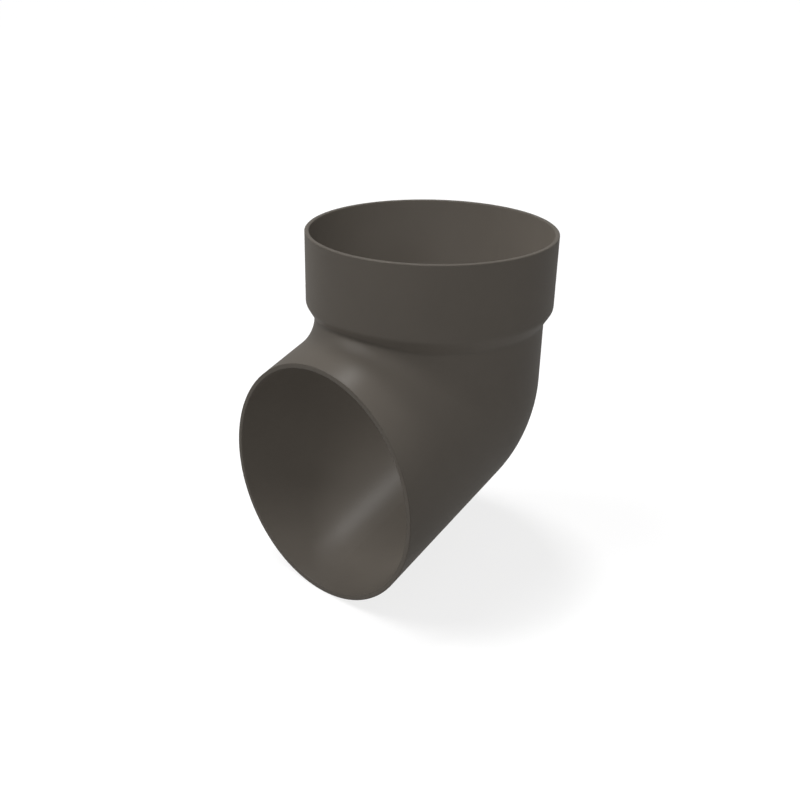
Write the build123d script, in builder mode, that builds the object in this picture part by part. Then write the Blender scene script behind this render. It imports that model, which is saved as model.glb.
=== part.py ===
from build123d import *
import math
import os

os.makedirs("parts", exist_ok=True)

# Downspout elbow, moulded as one piece: a socket on top, a short upright body,
# a bend, and an outlet tube that ends on a vertical plane.
# Origin: centre of the socket's rim. +Z points up out of the socket, the outlet faces -Y.

# Sizes in mm
downpipe_radius = 55.0
socket_clearance = 0.4
wall = 2.0
socket_straight_depth = 33.0
shoulder_height = 6.7
shoulder_rounding = 3.0
body_radius = 53.5
bend_start_depth = 69.3
bend_angle = 72.0
bend_radius = 11.5
outlet_reach = 74.5
rim_chamfer = 0.3
# The shoulder's cone goes on inside the body by this height
cone_overlap = 3.0

# Values that follow from them
socket_bore_radius = downpipe_radius + socket_clearance
socket_radius = socket_bore_radius + wall
body_bore_radius = body_radius - wall
half_bend = math.radians(bend_angle / 2)
mitre_depth = bend_start_depth + bend_radius * math.tan(half_bend)
shoulder_slope = math.atan((socket_radius - body_radius) / shoulder_height)
shoulder_drop = wall * math.tan(shoulder_slope / 2)

# The bend's centreline, an arc about the bend's axis
bend_axis = Axis((0, -bend_radius, -bend_start_depth), (-1, 0, 0))
with BuildLine(Plane.YZ) as centreline:
    CenterArc((-bend_radius, -bend_start_depth), bend_radius, 0, -bend_angle)

# Planes. The mitre halves the angle between the upright and the outlet.
mitre_normal = Vector(0, math.sin(half_bend), math.cos(half_bend))
mitre = Plane(origin=(0, 0, -mitre_depth), x_dir=(1, 0, 0), z_dir=mitre_normal)
throat_start = Plane(origin=centreline.line @ 0, x_dir=(1, 0, 0), z_dir=mitre_normal)
throat_end = Plane(origin=centreline.line @ 1, x_dir=(1, 0, 0), z_dir=mitre_normal)
bend_start = Plane.XY.offset(-bend_start_depth)
outlet_start = Plane(origin=centreline.line @ 1, x_dir=(1, 0, 0), z_dir=centreline.line % 1)
outlet_face = Plane(origin=(0, -outlet_reach, 0), x_dir=(1, 0, 0), z_dir=(0, -1, 0))

# The heel's side in a sketch across the tube at the start of the bend
heel_side = (Align.CENTER, Align.MIN)


def bent_bar(radius, round_throat):
    """Solid bar along the upright and the outlet, with a round heel and a round or sharp throat."""
    upper_seam = throat_start if round_throat else mitre
    lower_seam = throat_end if round_throat else mitre
    past_seam = radius * math.tan(half_bend) + bend_radius
    cutter_side = 4 * radius

    with BuildPart() as upright:
        Cylinder(radius, bend_start_depth + past_seam, align=(Align.CENTER, Align.CENTER, Align.MAX))
        split(bisect_by=upper_seam, keep=Keep.TOP)

    with BuildPart() as outlet:
        with BuildSketch(outlet_start.offset(-past_seam)):
            Circle(radius)
        extrude(amount=past_seam + outlet_reach + radius)
        split(bisect_by=lower_seam, keep=Keep.BOTTOM)

    with BuildPart() as bar:
        if round_throat:
            # The mitre's ellipse moves along the centreline without turning
            with BuildSketch(throat_start):
                Ellipse(radius, radius / math.cos(half_bend))
            sweep(path=centreline.line, normal=mitre_normal)
        add(upright.part)
        add(outlet.part)
        # The heel's corner comes off, and half a disc follows the centreline in its place
        with BuildSketch(bend_start):
            Rectangle(cutter_side, cutter_side, align=heel_side)
        revolve(axis=bend_axis, revolution_arc=bend_angle, mode=Mode.SUBTRACT)
        with BuildSketch(bend_start):
            Circle(radius)
            Rectangle(cutter_side, cutter_side, align=heel_side, mode=Mode.INTERSECT)
        sweep(path=centreline.line)
    return bar.part


def socket_bar(large_radius, straight_depth, rounding):
    """Solid of revolution for the socket: straight, then a cone that ends inside the body."""
    cone_height = shoulder_height + cone_overlap
    cone_end_radius = large_radius - cone_height * math.tan(shoulder_slope)
    with BuildPart() as bar:
        with BuildSketch(Plane.XZ) as profile:
            with BuildLine():
                Polyline(
                    (0, 0),
                    (large_radius, 0),
                    (large_radius, -straight_depth),
                    (cone_end_radius, -straight_depth - cone_height),
                    (0, -straight_depth - cone_height),
                    close=True,
                )
            make_face()
            if rounding > 0:
                shoulder_corner = profile.vertices().group_by(Axis.X)[-1].sort_by(Axis.Y)[0]
                fillet(shoulder_corner, rounding)
        revolve(axis=Axis.Z)
    return bar.part


# The outside has a round throat and shoulder. The bore keeps both corners sharp.
outside_bend = bent_bar(body_radius, round_throat=True)
outside_socket = socket_bar(socket_radius, socket_straight_depth + shoulder_drop, shoulder_rounding)
bore_bend = bent_bar(body_bore_radius, round_throat=False)
bore_socket = socket_bar(socket_bore_radius, socket_straight_depth, 0)

with BuildPart() as elbow_body:
    add(outside_bend)
    add(outside_socket)
    add(bore_bend, mode=Mode.SUBTRACT)
    add(bore_socket, mode=Mode.SUBTRACT)
    split(bisect_by=outlet_face, keep=Keep.BOTTOM)
    socket_rim = elbow_body.faces().sort_by(Axis.Z)[-1]
    chamfer(socket_rim.edges(), rim_chamfer)
    # One side is kept and mirrored, which makes the part exactly symmetric
    split(bisect_by=Plane.YZ, keep=Keep.TOP)
    mirror(about=Plane.YZ)

elbow_body.part.label = "elbow_body"
export_step(elbow_body.part, "parts/elbow_body.step")
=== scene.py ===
import math

import bpy
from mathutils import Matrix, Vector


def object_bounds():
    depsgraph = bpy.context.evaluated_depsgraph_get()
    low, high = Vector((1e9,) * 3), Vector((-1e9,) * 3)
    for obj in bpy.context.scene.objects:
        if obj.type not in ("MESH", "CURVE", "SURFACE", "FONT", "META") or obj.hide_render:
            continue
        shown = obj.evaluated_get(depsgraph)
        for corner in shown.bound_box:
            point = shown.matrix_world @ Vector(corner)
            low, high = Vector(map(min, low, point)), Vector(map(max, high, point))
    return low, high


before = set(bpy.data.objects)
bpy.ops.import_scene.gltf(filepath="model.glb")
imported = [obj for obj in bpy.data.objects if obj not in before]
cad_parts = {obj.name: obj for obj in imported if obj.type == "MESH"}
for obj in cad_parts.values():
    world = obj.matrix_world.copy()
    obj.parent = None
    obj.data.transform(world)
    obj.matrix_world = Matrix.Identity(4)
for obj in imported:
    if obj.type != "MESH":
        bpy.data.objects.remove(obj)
first_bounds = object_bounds()

# All lengths are in metres. The socket's rim is at height zero.
black = (0.0, 0.0, 0.0, 1.0)
white = (1.0, 1.0, 1.0, 1.0)


def new_material(name):
    """New material and its shader, nodes and links."""
    made = bpy.data.materials.new(name)
    made.use_nodes = True
    nodes = made.node_tree.nodes
    return made, nodes["Principled BSDF"], nodes, made.node_tree.links


def color_ramp(nodes, stops):
    """Ramp with the given positions and colours, in rising order."""
    made = nodes.new("ShaderNodeValToRGB")
    elements = made.color_ramp.elements
    while len(elements) < len(stops):
        elements.new(1.0)
    for element, (position, color) in zip(elements, stops):
        element.position = position
        element.color = color
    return made


def map_range(nodes, from_range, to_range):
    """Node that maps one range of values to another."""
    made = nodes.new("ShaderNodeMapRange")
    made.inputs["From Min"].default_value, made.inputs["From Max"].default_value = from_range
    made.inputs["To Min"].default_value, made.inputs["To Max"].default_value = to_range
    return made


def noise(nodes, links, place, scale, detail):
    """Noise of the given scale over the object."""
    made = nodes.new("ShaderNodeTexNoise")
    made.inputs["Scale"].default_value = scale
    made.inputs["Detail"].default_value = detail
    links.new(place.outputs["Object"], made.inputs["Vector"])
    return made


# Plastic: dark warm grey, matt under a thin film of gloss
darker_tone = (0.0725, 0.0640, 0.0545, 1.0)
lighter_tone = (0.0795, 0.0705, 0.0600, 1.0)
edge_rounding = 0.0010
shoulder_rounding = 0.0035
# Heights at which the shoulder's wider rounding begins, is full, and ends again.
# They take in the shoulder's slope and its lower corner.
shoulder_stops = ((-0.0444, black), (-0.0434, white), (-0.0330, white), (-0.0310, black))
shoulder_span = (-0.050, -0.030)


def soft_edges(nodes, links, place):
    """Edges catch the light as slightly round, and the shoulder's lower corner as rounder."""
    height = nodes.new("ShaderNodeSeparateXYZ")
    links.new(place.outputs["Object"], height.inputs["Vector"])
    in_span = map_range(nodes, shoulder_span, (0.0, 1.0))
    links.new(height.outputs["Z"], in_span.inputs["Value"])
    bottom, top = shoulder_span
    near_shoulder = color_ramp(nodes, [((z - bottom) / (top - bottom), color) for z, color in shoulder_stops])
    links.new(in_span.outputs["Result"], near_shoulder.inputs["Fac"])
    radius = map_range(nodes, (0.0, 1.0), (edge_rounding, shoulder_rounding))
    links.new(near_shoulder.outputs["Color"], radius.inputs["Value"])
    made = nodes.new("ShaderNodeBevel")
    made.samples = 8
    links.new(radius.outputs["Result"], made.inputs["Radius"])
    return made


def plastic_material():
    made, shader, nodes, links = new_material("matt_plastic")
    shader.inputs["Specular IOR Level"].default_value = 0.0
    shader.inputs["Roughness"].default_value = 0.6
    shader.inputs["Coat Weight"].default_value = 0.17
    shader.inputs["Coat Roughness"].default_value = 0.35
    place = nodes.new("ShaderNodeTexCoord")

    # Slow changes of tone over the whole piece
    cloud = noise(nodes, links, place, 22.0, 4.0)
    tone = color_ramp(nodes, [(0.3, darker_tone), (0.7, lighter_tone)])
    links.new(cloud.outputs["Fac"], tone.inputs["Fac"])
    links.new(tone.outputs["Color"], shader.inputs["Base Color"])

    # Fine grain of the mould's surface
    grain = noise(nodes, links, place, 1400.0, 2.0)
    bump = nodes.new("ShaderNodeBump")
    bump.inputs["Strength"].default_value = 0.12
    bump.inputs["Distance"].default_value = 0.0001
    links.new(grain.outputs["Fac"], bump.inputs["Height"])
    links.new(soft_edges(nodes, links, place).outputs["Normal"], bump.inputs["Normal"])
    links.new(bump.outputs["Normal"], shader.inputs["Normal"])
    links.new(bump.outputs["Normal"], shader.inputs["Coat Normal"])
    return made


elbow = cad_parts["elbow_body"]
elbow.data.materials.clear()
elbow.data.materials.append(plastic_material())


def background_rays(nodes, links):
    """A factor of 1 for the rays that show the background: straight, mirrored or through glass."""
    path = nodes.new("ShaderNodeLightPath")
    straight_or_mirrored = nodes.new("ShaderNodeMath")
    straight_or_mirrored.operation = "MAXIMUM"
    links.new(path.outputs["Is Camera Ray"], straight_or_mirrored.inputs[0])
    links.new(path.outputs["Is Glossy Ray"], straight_or_mirrored.inputs[1])
    any_of_them = nodes.new("ShaderNodeMath")
    any_of_them.operation = "MAXIMUM"
    links.new(straight_or_mirrored.outputs["Value"], any_of_them.inputs[0])
    links.new(path.outputs["Is Transmission Ray"], any_of_them.inputs[1])
    return any_of_them.outputs["Value"]


# Floor: pale, with the object's shadow, near white where the background shows
floor_size = 30.0
floor_gap = 0.0005


def floor_material():
    made, shader, nodes, links = new_material("pale_floor")
    shader.inputs["Base Color"].default_value = (0.35, 0.35, 0.35, 1.0)
    shader.inputs["Roughness"].default_value = 0.9
    shader.inputs["Specular IOR Level"].default_value = 0.0
    shader.inputs["Emission Color"].default_value = white

    # The glow grows outwards, where less of the lamps' light reaches the floor
    place = nodes.new("ShaderNodeTexCoord")
    distance = nodes.new("ShaderNodeVectorMath")
    distance.operation = "LENGTH"
    links.new(place.outputs["Object"], distance.inputs[0])
    level = map_range(nodes, (0.3, 1.6), (0.65, 0.95))
    links.new(distance.outputs["Value"], level.inputs["Value"])
    glow = nodes.new("ShaderNodeMath")
    glow.operation = "MULTIPLY"
    links.new(level.outputs["Result"], glow.inputs[0])
    links.new(background_rays(nodes, links), glow.inputs[1])
    links.new(glow.outputs["Value"], shader.inputs["Emission Strength"])
    return made


floor_height = first_bounds[0].z - floor_gap
bpy.ops.mesh.primitive_plane_add(size=floor_size, location=(0.0, 0.0, floor_height))
floor = bpy.context.object
floor.name = "floor"
floor.data.materials.append(floor_material())


def make_world():
    """White as a background, a plain grey room as a light."""
    world = bpy.data.worlds.new("studio")
    world.use_nodes = True
    bpy.context.scene.world = world
    nodes = world.node_tree.nodes
    links = world.node_tree.links
    room = nodes["Background"]
    room.inputs["Color"].default_value = white
    room.inputs["Strength"].default_value = 0.15
    backdrop = nodes.new("ShaderNodeBackground")
    backdrop.inputs["Color"].default_value = white
    backdrop.inputs["Strength"].default_value = 1.0
    mix = nodes.new("ShaderNodeMixShader")
    links.new(background_rays(nodes, links), mix.inputs["Fac"])
    links.new(room.outputs["Background"], mix.inputs[1])
    links.new(backdrop.outputs["Background"], mix.inputs[2])
    links.new(mix.outputs["Shader"], nodes["World Output"].inputs["Surface"])


make_world()

# Lights
middle = (first_bounds[0] + first_bounds[1]) / 2
lamp_distance = 1.2


def soft_box(name, azimuth, elevation, size, power, fill=False):
    """Square lamp, placed by azimuth and elevation in degrees round the object's middle.

    A fill lamp throws no shadow and gives no gloss, so it reaches into the openings.
    """
    a, e = math.radians(azimuth), math.radians(elevation)
    light = bpy.data.lights.new(name, "AREA")
    light.shape = "SQUARE"
    light.size = size
    light.energy = power
    light.use_shadow = not fill
    made = bpy.data.objects.new(name, light)
    bpy.context.scene.collection.objects.link(made)
    made.location = (
        middle.x + lamp_distance * math.sin(a) * math.cos(e),
        middle.y - lamp_distance * math.cos(a) * math.cos(e),
        middle.z + lamp_distance * math.sin(e),
    )
    made.rotation_euler = (math.pi / 2 - e, 0.0, a)
    made.visible_glossy = not fill


soft_box("left", -45.0, 55.0, 0.7, 8.8)
# It shines down through the socket onto the outlet's floor
soft_box("overhead", -121.0, 77.5, 0.2, 6.6)
soft_box("fill front", 52.0, 55.0, 0.6, 8.7, fill=True)
soft_box("fill below", 0.0, -60.0, 0.6, 8.4, fill=True)
soft_box("fill left", -90.0, -20.0, 0.6, 8.0, fill=True)
soft_box("fill right", 135.0, -20.0, 0.6, 2.5, fill=True)
soft_box("fill back", -135.0, -20.0, 0.6, 5.0, fill=True)

# A faint lamp inside the socket, right of its middle in the photograph, lifts the tone of its walls
socket_light = bpy.data.lights.new("fill socket", "POINT")
socket_light.energy = 0.036
socket_light.shadow_soft_size = 0.02
socket_lamp = bpy.data.objects.new("fill socket", socket_light)
bpy.context.scene.collection.objects.link(socket_lamp)
socket_lamp.location = (0.009, 0.008, -0.02)
socket_lamp.visible_camera = False
socket_lamp.visible_glossy = False

# Camera: the photograph's place, lens and framing. It looks down by the pitch and turns about Z.
camera_place = (0.25974, -0.32919, 0.10992)
camera_pitch = 23.79
camera_turn = 43.1
camera_data = bpy.data.cameras.new("photo_camera")
camera_data.sensor_width = 36.0
camera_data.lens = 42.366
camera_data.shift_x = 0.05856
camera_data.shift_y = -0.02719
camera_data.clip_start = 0.01
camera = bpy.data.objects.new("photo_camera", camera_data)
bpy.context.scene.collection.objects.link(camera)
camera.location = camera_place
camera.rotation_euler = (math.radians(90.0 - camera_pitch), 0.0, math.radians(camera_turn))
bpy.context.scene.camera = camera

bpy.context.scene.view_settings.view_transform = "Standard"
